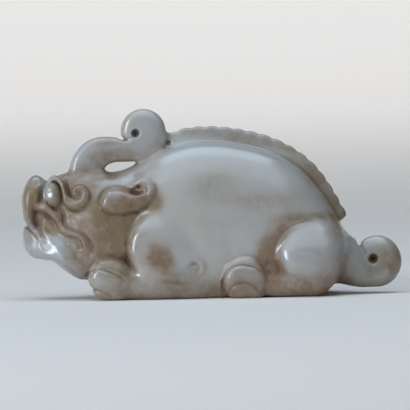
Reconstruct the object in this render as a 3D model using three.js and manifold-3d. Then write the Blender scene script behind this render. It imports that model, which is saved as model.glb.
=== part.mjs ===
// A crouching qilin carved in the round from one pebble of pale jade.
// The beast lies on its belly with its legs folded along its flanks. One horn sweeps back from the
// crown and rolls into a pierced scroll on the shoulders, a scalloped crest follows the spine, and
// the tail curls up into a second pierced scroll.
//
// Millimetres, +Z up. The head points to -X and the left flank faces -Y. The origin is in the middle
// of the flat underside. Both flanks are carved alike.

import * as THREE from 'three';
import { LoftGeometry } from 'three/addons/geometries/LoftGeometry.js';
import { mergeVertices } from 'three/addons/utils/BufferGeometryUtils.js';
import Module from 'manifold-3d';

// Driving dimensions
const figureLength = 116; // from the nose to the back of the tail scroll
const figureWidth = 36; // across the haunches
const hornHoleDiameter = 2.3;
const tailHoleDiameter = 2.8;
const crestHoleDiameter = 1.3; // the small hole between the horn scroll and the crest
const crestThickness = 4.4;
const crestScallops = 18;
const scallopDepth = 0.55;
const toeGrooveWidth = 0.7;
const toeGrooveDepth = 0.7;
const bellyRise = 0.9; // how far the underside rises between the fore and the hind legs
const jadeColor = 0xc9cac2;

// The pose and the carving are drawn at a length of 116 and a width of 36, and follow the two sizes.
const drawnLength = 116;
const drawnWidth = 36;
const along = figureLength / drawnLength;
const across = figureWidth / drawnWidth;

// How finely the round forms are faceted, in drawn millimetres
const outlineFacet = 6;
const ringSpacing = 2.6;
const strandFacet = 2;
const faceting = 0.1; // facets that lie closer together than this become one
const weldDistance = 1e-4;

const wasm = await Module();
wasm.setup();

// A drawn point of the side view, x and z, and how far it lies from the middle plane.
function place(x, z, y = 0) {
  return new THREE.Vector3(x * along, y * across, z * along);
}

function toSolid(geometry) {
  const bare = new THREE.BufferGeometry();
  bare.setAttribute('position', geometry.getAttribute('position'));
  bare.setIndex(geometry.index);
  const welded = mergeVertices(bare, weldDistance);
  return new wasm.Manifold(new wasm.Mesh({
    numProp: 3,
    vertProperties: new Float32Array(welded.getAttribute('position').array),
    triVerts: new Uint32Array(welded.index.array),
  }));
}

function toGeometry(solid) {
  const { vertProperties, triVerts } = solid.getMesh();
  const geometry = new THREE.BufferGeometry();
  geometry.setAttribute('position', new THREE.BufferAttribute(vertProperties, 3));
  geometry.setIndex(new THREE.BufferAttribute(triVerts, 1));
  geometry.computeVertexNormals();
  return geometry;
}

function loft(sections) {
  return toSolid(new LoftGeometry(sections, { capStart: true, capEnd: true }));
}

function unite(solids) {
  return solids.reduce((whole, solid) => whole.add(solid));
}

function onBothFlanks(make) {
  return unite([-1, 1].map(make));
}

// A smooth line through drawn [x, z] or [x, z, y] points. side is -1 or 1 for the flank.
function smoothLine(points, closed, side = 1) {
  return new THREE.CatmullRomCurve3(points.map(([x, z, y = 0]) => place(x, z, y * side)), closed, 'centripetal');
}

// Evenly spaced points of a smooth closed line, clockwise in the side view.
function closedRim(points) {
  const curve = smoothLine(points, true);
  const count = 8 + Math.round(curve.getLength() / along / outlineFacet);
  const rim = curve.getSpacedPoints(count).slice(0, count);
  const clockwise = THREE.ShapeUtils.isClockWise(rim.map(({ x, z }) => new THREE.Vector2(x, z)));
  return clockwise ? rim : rim.reverse();
}

// A value read from a list that is spread evenly over 0 to 1, or the value itself.
function readSpread(list, t) {
  if (!Array.isArray(list)) return list;
  const at = t * (list.length - 1);
  const low = Math.min(Math.floor(at), list.length - 2);
  return THREE.MathUtils.lerp(list[low], list[low + 1], at - low);
}

// A rounded boss: the side outline, swelling to its half thickness as it shrinks to the core line.
// fullness 2 gives an elliptic swell, and more gives a flatter flank with rounder edges.
// taper = [x1, share1, x2, share2] thins the boss between two drawn places along the beast.
function boss({ outline, core, middle = 0, half, fullness = 2, taper = [0, 1, 1, 1] }) {
  const rim = closedRim(outline);
  const spine = new THREE.Line3(place(...core[0]), place(...core[1]));
  const rings = 3 + Math.round(half / ringSpacing);
  const lastAngle = THREE.MathUtils.degToRad(84);
  const [x1, share1, x2, share2] = taper;
  const sections = [];
  for (let i = 0; i <= rings; i++) {
    const angle = THREE.MathUtils.lerp(-lastAngle, lastAngle, i / rings);
    const reach = Math.cos(angle) ** (2 / fullness);
    const swell = Math.sign(angle) * Math.abs(Math.sin(angle)) ** (2 / fullness);
    sections.push(rim.map((point) => {
      const moved = spine.closestPointToPoint(point, true, new THREE.Vector3()).lerp(point, reach);
      const x = THREE.MathUtils.clamp(moved.x / along, x1, x2);
      moved.y = (middle + half * swell * THREE.MathUtils.mapLinear(x, x1, x2, share1, share2)) * across;
      return moved;
    }));
  }
  return loft(sections);
}

// A rounded strand along a line. widths are half widths in the side view and depths are half
// thicknesses across the beast, both spread evenly along the line. Its ends are domed.
function strand({ line, widths, depths, side = 1 }) {
  const curve = smoothLine(line, false, side);
  const usualWidth = (readSpread(widths, 0.25) + readSpread(widths, 0.75)) / 2;
  const turns = 4 + 2 * Math.round(usualWidth * 0.6);
  const steps = Math.round(curve.getLength() / along / (strandFacet + usualWidth / 6));
  const dome = [[0.92, 0.39], [0.6, 0.8]]; // how far out, and how wide
  const stations = [
    ...dome.map(([out, size]) => [0, -out, size]),
    ...Array.from({ length: steps + 1 }, (_, i) => [i / steps, 0, 1]),
    ...dome.toReversed().map(([out, size]) => [1, out, size]),
  ];
  return loft(stations.map(([t, out, size]) => {
    const forward = curve.getTangentAt(t);
    const outward = new THREE.Vector3(forward.z, 0, -forward.x).normalize();
    const sideways = new THREE.Vector3().crossVectors(outward, forward).normalize();
    const width = readSpread(widths, t) * along;
    const depth = readSpread(depths, t) * across;
    const centre = curve.getPointAt(t).addScaledVector(forward, out * Math.min(width, depth));
    return Array.from({ length: turns }, (_, i) => {
      const angle = -2 * Math.PI * i / turns;
      return centre.clone()
        .addScaledVector(outward, Math.cos(angle) * width * size)
        .addScaledVector(sideways, Math.sin(angle) * depth * size);
    });
  }));
}

// An egg with half sizes in the side view and across the beast, leaning by some degrees.
function ball({ at, halves: [halfX, halfZ, halfY], lean = 0, side = 1 }) {
  const [x, z, y = 0] = at;
  const geometry = new THREE.SphereGeometry(1, 12, 8)
    .scale(halfX * along, halfY * across, halfZ * along)
    .rotateY(THREE.MathUtils.degToRad(lean));
  return toSolid(geometry.translate(...place(x, z, y * side)));
}

// A drill through the whole width at a drawn point.
function drill(x, z, diameter) {
  const bit = new THREE.CylinderGeometry(diameter / 2, diameter / 2, figureWidth * 2, 12);
  return toSolid(bit.translate(...place(x, z)));
}

// Trunk
const backLine = [
  [-16.5, 44], [-9, 46.8], [-2.8, 47.6], [3.4, 47.4], [9.5, 46.4], [15.6, 44.9], [20.1, 43.2],
  [24.7, 40.6], [29.2, 37], [33.1, 32.2], [36.3, 27.2], [39.2, 22.6],
];

function trunk() {
  const rump = [[41, 17], [40.6, 11], [38.6, 4]];
  const belly = [[33.5, -0.8], [20, -1.6], [0, -1.6], [-18, -1.6], [-28, 1]];
  const neck = [[-32.5, 8], [-35.5, 19], [-36, 30], [-33, 37.4], [-27.4, 39.4], [-21, 42]];
  return boss({
    outline: [...backLine, ...rump, ...belly, ...neck], core: [[-15, 20], [21, 17]],
    half: 15.4, fullness: 2.35, taper: [-32, 0.76, -6, 1],
  });
}

// The crest stands on the back line, with a scalloped edge that ends in a small knob over the rump.
function crest() {
  const back = smoothLine(backLine, false);
  const stand = [3.6, 4.3, 4.1, 4, 3.8, 3.5, 3.3, 3.1, 3];
  const sink = 3;
  const perScallop = 3;
  const innerSteps = 10;
  const away = (t, distance) => {
    const point = back.getPointAt(t);
    const tangent = back.getTangentAt(t);
    return new THREE.Vector2(point.x - tangent.z * distance, point.z + tangent.x * distance);
  };
  const outer = Array.from({ length: crestScallops * perScallop + 1 }, (_, i) => {
    const t = i / (crestScallops * perScallop);
    const dip = 1 - Math.abs(Math.sin(Math.PI * i / perScallop));
    return away(t, readSpread(stand, t) * along - scallopDepth * dip);
  });
  const inner = Array.from({ length: innerSteps + 1 }, (_, i) => away(1 - i / innerSteps, -sink * along));
  const bevel = crestThickness * 0.25;
  const flat = crestThickness - 2 * bevel;
  const geometry = new THREE.ExtrudeGeometry(new THREE.Shape([...outer, ...inner]), {
    depth: flat, bevelThickness: bevel, bevelSize: bevel, bevelOffset: -bevel, bevelSegments: 1,
  });
  geometry.translate(0, 0, -flat / 2).rotateX(Math.PI / 2);
  return toSolid(geometry).add(ball({ at: [39.4, 24.4], halves: [1.4, 1.9, 1.5], lean: -20 }));
}

// Horn and tail, each rolled round a thinner disc
function horn() {
  const sweep = [[-38.2, 36], [-38.2, 40.4], [-36, 43.5], [-31, 45.4], [-24.5, 45.2], [-18.6, 46.4]];
  const scroll = [[-16.6, 50], [-17.8, 53.5], [-21.1, 55], [-24.4, 54], [-25.8, 51.8]];
  return unite([
    strand({
      line: [...sweep, ...scroll],
      widths: [6, 5.9, 5.4, 4, 3.8, 4.2, 3.5, 3.3, 3, 2.7, 2.2], depths: [5.6, 5, 4.4, 4.2, 4.2, 4, 3.8],
    }),
    ball({ at: [-20.9, 50.8], halves: [5, 4.6, 3.7] }),
  ]);
}

function tail() {
  const root = [[33, 13.4], [38.5, 10.9], [43, 7.2], [48, 5.6]];
  const scroll = [[52.5, 6.4], [54.6, 10], [53.4, 13.5], [50.4, 14.8], [47.9, 13.7]];
  return unite([
    strand({
      line: [...root, ...scroll],
      widths: [8.6, 7.8, 5.8, 4.1, 3.9, 3.5, 3.3, 3, 2.2], depths: [9.4, 7.6, 5.4, 4.4, 4, 3.8, 3.6],
    }),
    ball({ at: [50, 10.4], halves: [4.4, 4.4, 3.2] }),
  ]);
}

// Head
function skull() {
  const crown = [[-50.6, 35.4], [-47.6, 37.8], [-43.5, 38.9], [-38, 38.6], [-31, 38.6], [-25, 38], [-21, 34]];
  const nape = [[-22.6, 28], [-25.6, 22], [-25.8, 15], [-28, 9], [-33, 5.6]];
  const throatAndFace = [[-39, 5.4], [-43.6, 7.4], [-47.6, 10.6], [-51, 17], [-52.6, 25], [-52.6, 31.5]];
  return boss({
    outline: [...crown, ...nape, ...throatAndFace], core: [[-40, 21], [-33, 22]],
    half: 12.8, fullness: 2.3, taper: [-52, 0.58, -34, 1],
  });
}

// The nose turns up in a rounded band that drops down the front of the face to a tusk.
function nose() {
  return strand({
    line: [[-52.9, 35.6], [-54.9, 33.8], [-55.5, 29.8], [-55.6, 26.4], [-56, 23]],
    widths: [2.6, 2.8, 2.8, 2.2, 1.4], depths: [4.6, 5.8, 6.6, 6.2, 5.4],
  });
}

function bridge() {
  return boss({
    outline: [[-56, 30.5], [-53, 33], [-49.6, 33.4], [-45, 30], [-45, 22], [-50, 20.6], [-55, 22.4]],
    core: [[-52, 28], [-48, 27]], half: 7.2, fullness: 2.6,
  });
}

function jaw() {
  const lowerLip = [[-57.4, 22.2], [-58, 18.4], [-57, 14.6], [-53.8, 12.1]];
  const throat = [[-48.8, 11.1], [-45, 8], [-40, 5.6], [-36, 10], [-38, 18]];
  return boss({
    outline: [...lowerLip, ...throat, [-46, 21], [-51.6, 22.4], [-54.6, 23.4]],
    core: [[-53, 17.4], [-43, 13.4]], half: 8.8, fullness: 2.3, taper: [-57, 0.74, -44, 1.1],
  });
}

// The upper lip starts beside the nose, falls back over the jaw and wraps the corner of the mouth.
function lips(side) {
  return strand({
    line: [[-54.6, 28.2, 6.4], [-50.6, 26.8, 7.8], [-47.4, 23.8, 8.6], [-44.6, 20.8, 9.6], [-40.8, 19.2, 10.4],
      [-38, 17.6, 10.8], [-37.6, 14.6, 10.4]],
    side, widths: [1, 1.3, 1.2, 1.2, 1.3, 1.6, 1.5], depths: 1.4,
  });
}

function eye(side) {
  return unite([
    ball({ at: [-48.4, 32, 7.6], halves: [2.5, 4.2, 2.9], lean: -8, side }),
    strand({
      line: [[-50.6, 35.6, 6.8], [-48.4, 37, 7.2], [-46.4, 35.6, 8.2], [-45.3, 31.6, 9], [-45.5, 28.4, 9]],
      side, widths: [0.6, 0.9, 0.9, 0.8, 0.6], depths: 1.1,
    }),
  ]);
}

// A scroll of one and a third turns behind the eye.
function browScroll(side) {
  const [startAngle, turn] = [205, 470].map(THREE.MathUtils.degToRad);
  const line = Array.from({ length: 10 }, (_, i) => {
    const t = i / 9;
    const angle = startAngle + turn * t;
    const radius = THREE.MathUtils.lerp(4.6, 1, t ** 0.8);
    return [-40.6 + Math.cos(angle) * radius, 31.7 + Math.sin(angle) * radius, 10.4];
  });
  return strand({ line, side, widths: [1.5, 1.7, 1.5, 1.2, 1, 0.8], depths: [1.3, 1.7, 1.5] });
}

// The ear lies back, and its tip curls up and forward round a small pit.
function ear(side) {
  return strand({
    line: [[-31, 29.8, 11.2], [-27, 29.8, 12.4], [-22.6, 30, 13.2], [-19.2, 31.4, 13.4], [-18.9, 34, 13],
      [-21, 35.5, 12.4], [-23.2, 35.2, 11.8]],
    side, widths: [2.7, 4, 3.6, 2.6, 1.6, 1.2, 0.9], depths: [2.4, 2.8, 2.6, 2, 1.5],
  });
}

// Fore legs
function shoulder(side) {
  const top = [[-25.8, 16], [-24.8, 20.4], [-21, 23.8], [-15, 24.4], [-9, 20.6], [-5.4, 15.4]];
  const elbow = [[-1.6, 11.6], [-1.3, 7.8], [-3.8, 5.2], [-7.6, 4.8]];
  return boss({
    outline: [...top, ...elbow, [-12, 6.4], [-18.6, 7], [-23, 8.6], [-25.4, 12]],
    core: [[-18.4, 15.4], [-8, 10.4]], middle: 8.2 * side, half: 8.8, fullness: 2.4, taper: [-18, 1, -2, 0.9],
  });
}

function foreLeg(side) {
  const forearm = strand({
    line: [[-5, 2, 10.6], [-17, 3.2, 11.4], [-27, 4.4, 11.6], [-32, 5.6, 11.2]],
    side, widths: [2, 3.6, 4, 4], depths: [3, 4.6, 4.8, 4.6],
  });
  const paw = boss({
    outline: [[-38.3, 6.8], [-37.6, 9.8], [-34.8, 12.2], [-31, 12.9], [-27.6, 11.8], [-25.2, 9], [-25, 4],
      [-27.4, -0.8], [-32.6, -1], [-36, 1.4], [-37.8, 4]],
    core: [[-32.8, 6], [-30, 6]], middle: 10.6 * side, half: 6.2, fullness: 2.3,
  });
  return forearm.add(paw);
}

// Hind legs
function haunch(side) {
  const top = [[17.4, 13.6], [18.8, 18.4], [21.8, 21.6], [26.2, 23.4], [31, 23.8], [36, 22], [39.4, 18.2]];
  const bottom = [[40.2, 12.6], [38.8, 7], [36, 2.6], [31.4, 0.4], [26, 1.4], [21.6, 4.8], [18.6, 9]];
  return boss({
    outline: [...top, ...bottom],
    core: [[26.5, 12.6], [31.5, 12.2]], middle: 8.6 * side, half: 9.4, fullness: 2.3,
  });
}

function hindLeg(side) {
  const shank = strand({
    line: [[12, 4.2, 11], [20, 3, 11.4], [31, 3.4, 11]],
    side, widths: [4, 4, 4.4], depths: [4.4, 4.8, 5],
  });
  const paw = boss({
    outline: [[2.2, 6.2], [3.2, 9.6], [5.8, 12.3], [9.8, 13.7], [13.6, 12.3], [16.1, 9], [16.6, 4],
      [14.6, -0.8], [8, -1], [4.2, 1.4]],
    core: [[8.4, 6.4], [10.6, 6.4]], middle: 10.8 * side, half: 6.2, fullness: 2.3,
  });
  return shank.add(paw);
}

// Curved grooves part three toes on the outer face of each paw.
function toeGrooves(side) {
  const reach = 1.4; // half the depth of the cutter
  const cut = (line) => strand({
    line: line.map(([x, z, y]) => [x, z, y + reach - toeGrooveDepth / across]),
    side, widths: toeGrooveWidth / 2 / along, depths: reach,
  });
  return unite([
    cut([[-38.8, 7.4, 13.2], [-36.4, 8.9, 15.4], [-32.8, 8.9, 16.7], [-29, 7.2, 16.7], [-26.6, 5.8, 16.4]]),
    cut([[-37.8, 4, 13.6], [-35, 3.4, 15.8], [-31.6, 2, 16.2]]),
    cut([[2.6, 8.4, 13.4], [5.6, 10, 15.8], [9.8, 10.2, 16.6], [13.4, 9, 16.4], [15.8, 6.8, 15.8]]),
    cut([[3.4, 3.2, 14], [6.6, 4.9, 16.6], [10.4, 4.8, 17], [12.6, 3.4, 16.8], [14.8, 1.8, 16.4]]),
  ]);
}

// Everything below the ground, and a shallow arch between the fore and the hind legs.
function underside() {
  const height = 20;
  const block = new THREE.BoxGeometry(figureLength * 2, figureWidth * 2, height).translate(0, 0, -height / 2);
  const halfSpan = 10 * along;
  const radius = (halfSpan ** 2 + bellyRise ** 2) / (2 * bellyRise);
  const arch = new THREE.CylinderGeometry(radius, radius, figureWidth * 2, 64);
  return toSolid(block).add(toSolid(arch.translate(-3 * along, 0, bellyRise - radius)));
}

function qilin() {
  const masses = [trunk, crest, horn, tail, skull, nose, bridge, jaw].map((make) => make());
  const pairs = [lips, eye, browScroll, ear, shoulder, foreLeg, haunch, hindLeg].map(onBothFlanks);
  const cuts = [
    onBothFlanks(toeGrooves), underside(), drill(-22.9, 50.3, hornHoleDiameter),
    drill(49.2, 10.7, tailHoleDiameter), drill(-12.9, 47.2, crestHoleDiameter),
  ];
  const carved = cuts.reduce((body, cut) => body.subtract(cut), unite([...masses, ...pairs])).simplify(faceting);
  const geometry = toGeometry(carved);
  geometry.computeBoundingBox();
  const middle = geometry.boundingBox.getCenter(new THREE.Vector3());
  geometry.translate(-middle.x, -middle.y, -geometry.boundingBox.min.z);
  const material = new THREE.MeshStandardMaterial({ color: jadeColor, roughness: 0.28, metalness: 0 });
  const mesh = new THREE.Mesh(geometry, material);
  mesh.name = 'qilin_figure';
  return mesh;
}

const figure = new THREE.Group();
figure.add(qilin());

export default figure;
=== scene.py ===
# A crouching qilin carved from one pebble of pale jade with russet skin.
# The carving is worked out as one body of stone on a fine lattice, form by form, and its surface is
# then taken off as a mesh and polished. The russet skin and the clouds of the jade lie in the material,
# which also paints shade into the hollows, the creases and the lower parts.

import bpy
import numpy as np
from math import radians, sin, cos
from mathutils import Matrix, Vector


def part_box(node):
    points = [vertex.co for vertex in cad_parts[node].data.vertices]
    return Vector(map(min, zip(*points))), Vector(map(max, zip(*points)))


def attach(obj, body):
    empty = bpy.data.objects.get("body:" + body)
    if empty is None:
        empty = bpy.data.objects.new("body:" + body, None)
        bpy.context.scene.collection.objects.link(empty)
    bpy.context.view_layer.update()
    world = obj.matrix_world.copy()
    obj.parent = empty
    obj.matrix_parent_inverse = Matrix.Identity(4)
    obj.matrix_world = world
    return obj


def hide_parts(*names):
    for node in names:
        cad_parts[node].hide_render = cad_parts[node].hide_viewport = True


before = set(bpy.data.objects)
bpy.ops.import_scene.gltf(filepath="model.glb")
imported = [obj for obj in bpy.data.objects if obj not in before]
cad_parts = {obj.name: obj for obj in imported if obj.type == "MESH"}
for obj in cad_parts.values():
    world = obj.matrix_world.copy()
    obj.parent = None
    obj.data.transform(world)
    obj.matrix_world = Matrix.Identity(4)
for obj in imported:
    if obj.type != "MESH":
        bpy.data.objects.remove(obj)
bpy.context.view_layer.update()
figureLow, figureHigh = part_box("qilin_figure")

# Camera: a plain side view of the left flank, with the figure filling the width
view = {
    "distance": 2.0, "fieldWidth": 0.1254, "sensor": 36,  # metres, and millimetres for the sensor
    "aim": (-0.0019, 0, 0.0279), "elevation": 2.5, "roll": 1.1, "farClip": 50,
}


def addCamera():
    data = bpy.data.cameras.new("camera")
    data.sensor_width = view["sensor"]
    data.lens = view["sensor"] * view["distance"] / view["fieldWidth"]
    data.clip_end = view["farClip"]
    camera = bpy.data.objects.new("camera", data)
    bpy.context.scene.collection.objects.link(camera)
    rise = radians(view["elevation"])
    aim = Vector(view["aim"])
    away = Vector((0, -cos(rise), sin(rise)))
    roll = Matrix.Rotation(radians(-view["roll"]), 4, "Z")
    turn = away.to_track_quat("Z", "Y").to_matrix().to_4x4() @ roll
    camera.matrix_world = Matrix.Translation(aim + away * view["distance"]) @ turn
    bpy.context.scene.camera = camera


addCamera()
print("camera set")


# The form is drawn in millimetres in the side view, x towards the tail and z up, for a beast that is
# 116 long and 36 wide. y is the distance out from the middle plane, and both flanks are alike.
lattice = {"cell": 0.25, "x": (-60, 60.2), "y": (0, 19.6), "z": (-1.5, 59.6)}
cell = lattice["cell"]
xs, ys, zs = (np.arange(lattice[k][0], lattice[k][1], cell) for k in "xyz")
farOff = 6  # distances count up to here
# the distance to the surface at each point of the lattice, below 0 inside
stone = np.full((len(xs), len(ys), len(zs)), farOff, np.float32)


# A smooth curve through the points, with its bends where the points ask for them
def smoothLine(points, steps=10, closed=False):
    p = np.asarray(points, float)
    p = np.vstack([p[-1], p, p[:2]]) if closed else np.vstack([2 * p[0] - p[1], p, 2 * p[-1] - p[-2]])
    gap = np.maximum(np.linalg.norm(np.diff(p[:, :2], axis=0), axis=1), 1e-6) ** 0.5
    out = []
    for i in range(1, len(p) - 2):
        a, b, c = gap[i - 1], gap[i], gap[i + 1]
        first = ((p[i] - p[i - 1]) / a - (p[i + 1] - p[i - 1]) / (a + b) + (p[i + 1] - p[i]) / b) * b
        last = ((p[i + 1] - p[i]) / b - (p[i + 2] - p[i]) / (b + c) + (p[i + 2] - p[i + 1]) / c) * b
        t = (np.arange(steps) / steps)[:, None]
        rise = p[i + 1] - p[i]
        square, cube = 3 * rise - 2 * first - last, first + last - 2 * rise
        out.append(p[i] + first * t + square * t ** 2 + cube * t ** 3)
    if not closed:
        out.append(p[-2:-1])
    return np.vstack(out)


# A value that flows smoothly from knot to knot and stays level beyond the ends
def flow(knots, values, at):
    knots, values = np.asarray(knots, float), np.asarray(values, float)
    slope = np.gradient(values, knots)
    slope[[0, -1]] = 0
    i = np.clip(np.searchsorted(knots, at, side="right") - 1, 0, len(knots) - 2)
    gap = knots[i + 1] - knots[i]
    t = np.clip((at - knots[i]) / gap, 0, 1)
    rise = values[i + 1] - values[i]
    a, b = slope[i] * gap, slope[i + 1] * gap
    return values[i] + t * (a + t * (3 * rise - 2 * a - b + t * (a + b - 2 * rise)))


# Values that are spaced evenly along a line, read at places from 0 to 1
def spread(values, place):
    if np.isscalar(values):
        return np.full(np.shape(place), float(values))
    return flow(np.linspace(0, 1, len(values)), values, place)


# The part of the lattice around a box in the side view, and its points
def window(low, high, margin=2.5):
    i0, i1 = np.searchsorted(xs, (low[0] - margin, high[0] + margin))
    k0, k1 = np.searchsorted(zs, (low[1] - margin, high[1] + margin))
    return slice(i0, i1), slice(k0, k1)


def sideGrid(w):
    return np.meshgrid(xs[w[0]], zs[w[1]], indexing="ij")


# Distance to a closed outline in the side view, below 0 inside
def toOutline(outline, x, z):
    nearest = np.full(x.shape, 1e9)
    inside = np.zeros(x.shape, bool)
    for (ax, az), (bx, bz) in zip(outline, np.roll(outline, -1, axis=0)):
        dx, dz = bx - ax, bz - az
        span = dx * dx + dz * dz
        if span < 1e-12:
            continue
        t = np.clip(((x - ax) * dx + (z - az) * dz) / span, 0, 1)
        nearest = np.minimum(nearest, (x - ax - t * dx) ** 2 + (z - az - t * dz) ** 2)
        if az != bz:
            inside ^= ((az > z) != (bz > z)) & (x < dx * (z - az) / dz + ax)
    return np.where(inside, -1, 1) * np.sqrt(nearest)


# Distance to an open line, the place along it from 0 to 1, and the side of it
def toLine(path, x, z, widths=None):
    path = np.asarray(path, float)
    run = np.concatenate([[0], np.cumsum(np.linalg.norm(np.diff(path[:, :2], axis=0), axis=1))])
    run /= run[-1]
    best = np.full(x.shape, 1e9)
    away, place, side = best.copy(), np.zeros(x.shape), np.ones(x.shape)
    for i in range(len(path) - 1):
        (ax, az), (bx, bz) = path[i, :2], path[i + 1, :2]
        dx, dz = bx - ax, bz - az
        t = np.clip(((x - ax) * dx + (z - az) * dz) / max(dx * dx + dz * dz, 1e-12), 0, 1)
        d = np.hypot(x - ax - t * dx, z - az - t * dz)
        s = run[i] + t * (run[i + 1] - run[i])
        key = d if widths is None else d - spread(widths, s)
        closer = key < best
        best = np.where(closer, key, best)
        away, place = np.where(closer, d, away), np.where(closer, s, place)
        side = np.where(closer, np.sign(dx * (z - az) - dz * (x - ax)), side)
    return away, place, side


# The smaller or the larger of two distances, with the corner between them rounded. The rounding runs
# out smoothly, a little beyond the blend, so that the polish shows no seam.
def softMin(a, b, blend):
    reach = blend * 1.3
    near = np.maximum(reach - np.abs(a - b), 0) / reach
    return np.minimum(a, b) - near ** 3 * reach / 6


def softMax(a, b, blend):
    return -softMin(-a, -b, blend)


# A shape is added to the stone, or taken from it, in one part of the lattice
def join(w, shape, blend):
    if not np.isscalar(blend):
        blend = blend[:, None, :]
    stone[w[0], :, w[1]] = softMin(stone[w[0], :, w[1]], shape, blend)


def carve(w, shape, blend):
    stone[w[0], :, w[1]] = softMax(stone[w[0], :, w[1]], -shape, blend)


# Distance to the surface where u and v together reach 1
def roundOff(u, v, steepU, steepV, power):
    u, v = np.maximum(u, 1e-4), np.maximum(v, 1e-4)
    g = (u ** power + v ** power) ** (1 / power)
    steep = np.hypot((u / g) ** (power - 1) * steepU, (v / g) ** (power - 1) * steepV)
    return np.clip((g - 1) / np.maximum(steep, 0.02), -farOff, farOff)


# A cushion with a drawn outline, highest over its core line. Its share of the half width and the
# softness of its joint may change along x, and it may lean outwards along x and z.
def boss(outline, core, half, fullness, blend, middle=0, share=None, lean=(0, 0)):
    outline = smoothLine(outline, closed=True)
    w = window(outline.min(axis=0), outline.max(axis=0), 3)
    x, z = sideGrid(w)
    edge = toOutline(outline, x, z)
    toCore = toLine(core, x, z)[0]
    u = toCore / np.maximum(toCore - edge, 0.05)
    steepU = np.hypot(*np.gradient(u, cell))
    width = half * (flow(*zip(*share), x) if share else np.ones(x.shape))
    at = np.mean(core, axis=0)
    middle = middle + lean[0] * (x - at[0]) + lean[1] * (z - at[1])
    v = np.abs(ys[None, :, None] - middle[:, None, :]) / width[:, None, :]
    shape = roundOff(u[:, None, :], v, steepU[:, None, :], 1 / width[:, None, :], fullness)
    join(w, shape, blend if np.isscalar(blend) else flow(*zip(*blend), x))


# A band of changing section along a line. A third number in its points is the distance out.
def strand(points, widths, depths, blend, power=2):
    path = smoothLine(points, 12)
    most = np.max(widths)
    w = window(path[:, :2].min(axis=0) - most, path[:, :2].max(axis=0) + most)
    x, z = sideGrid(w)
    away, place, _ = toLine(path, x, z, widths)
    wide, deep = spread(widths, place)[:, None, :], spread(depths, place)[:, None, :]
    out = spread([p[2] for p in points], place) if len(points[0]) > 2 else np.zeros(x.shape)
    v = np.abs(ys[None, :, None] - out[:, None, :]) / deep
    join(w, roundOff(away[:, None, :] / wide, v, 1 / wide, 1 / deep, power), blend)


# An egg with half sizes along, up and out, leaning in the side view. A power over 2 makes it squarer.
def ball(at, halves, blend, lean=0, side=0, power=2, cut=False):
    most = max(halves[0], halves[1])
    w = window((at[0] - most, at[1] - most), (at[0] + most, at[1] + most))
    x, z = sideGrid(w)
    c, s = np.cos(np.radians(lean)), np.sin(np.radians(lean))
    a = ((x - at[0]) * c + (z - at[1]) * s) / halves[0]
    b = ((z - at[1]) * c - (x - at[0]) * s) / halves[1]
    u = np.hypot(a, b)
    steepU = np.hypot(a / halves[0], b / halves[1]) / np.maximum(u, 1e-4)
    v = np.abs(ys[None, :, None] - side) / halves[2]
    shape = roundOff(u[:, None, :], v, steepU[:, None, :], 1 / halves[2], power)
    (carve if cut else join)(w, shape, blend)


# A cut right through, with a worn rim
def pierce(outline, blend):
    outline = smoothLine(outline, closed=True)
    w = window(outline.min(axis=0), outline.max(axis=0), blend + 1)
    x, z = sideGrid(w)
    carve(w, toOutline(outline, x, z)[:, None, :], blend)


# A hole that is drilled from both sides, narrowest in the middle. With a waist of 0.5 or less it is
# blind, because the rounding and the polish close the middle again.
def drill(at, diameter, waist, depth, blend):
    r, taper = diameter / 2, 0.7  # a lower taper stays narrow for longer
    w = window((at[0] - r, at[1] - r), (at[0] + r, at[1] + r), blend + 1)
    x, z = sideGrid(w)
    bore = r + (waist / 2 - r) * np.clip(1 - ys / depth, 0, 1) ** taper
    carve(w, np.hypot(x - at[0], z - at[1])[:, None, :] - bore[None, :, None], blend)


# A line cut into the flank, or a ridge where the depth is below 0. It may fall off at different
# widths to its left and its right, and counts only further out than low.
def line(points, depth, left, right=None, low=4, smooth=True):
    right = left if right is None else right
    fade = 2  # over how much it fades in around low
    path = smoothLine(points) if smooth else np.asarray(points, float)
    reach = max(np.max(left), np.max(right))
    w = window(path.min(axis=0) - reach, path.max(axis=0) + reach, 0.5)
    x, z = sideGrid(w)
    away, place, side = toLine(path, x, z)
    fall = np.clip(away / np.where(side > 0, spread(left, place), spread(right, place)), 0, 1)
    cut = spread(depth, place) * (1 - fall ** 2) ** 2
    out = np.clip((ys - low) / fade + 0.5, 0, 1)
    stone[w[0], :, w[1]] += (cut[:, None, :] * out[None, :, None]).astype(np.float32)


# A place on the flank that is worn flat: how far out it lies in its middle, its slopes along x and z,
# and how far it reaches
def wear(at, out, slopes, reach, blend):
    fade, roll = 2.4, 0.4  # how far beyond its reach it runs out, and how fast it rolls off there
    far = reach + fade
    w = window((at[0] - far, at[1] - far), (at[0] + far, at[1] + far), 0)
    x, z = sideGrid(w)
    worn = out + (x - at[0]) * slopes[0] + (z - at[1]) * slopes[1]
    worn += roll * np.maximum(np.hypot(x - at[0], z - at[1]) - reach, 0) ** 2
    carve(w, worn[:, None, :] - ys[None, :, None], blend)


def cutLines(cuts):
    for cut in cuts.values():
        line(**cut)


# Trunk
back = [[-16.5, 44], [-9, 46.8], [-2.8, 47.6], [3.4, 47.4], [9.5, 46.4], [15.6, 44.9], [20.1, 43.2],
        [24.7, 40.6], [29.2, 37], [33.1, 32.2], [36.3, 27.2], [38.8, 22.6]]
belly = [[40.4, 17], [40.2, 11], [38.6, 5.6], [35.4, 2.6], [31, 1], [24, -0.8], [12, -1.4], [0, -1.6],
         [-18, -1.6], [-28, 1]]
neck = [[-32.5, 8], [-35.5, 19], [-36, 30], [-33, 37.2], [-27.4, 39], [-21, 41.5]]
trunk = {
    "outline": back + belly + neck, "core": [[-15, 20], [21, 17]],
    "half": 15.4, "fullness": 2.7, "blend": 1,
    "share": ((-36, 0.5), (-27, 0.68), (-17, 0.88), (-5, 0.99), (8, 1), (20, 0.98), (38, 0.84)),
}

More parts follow.
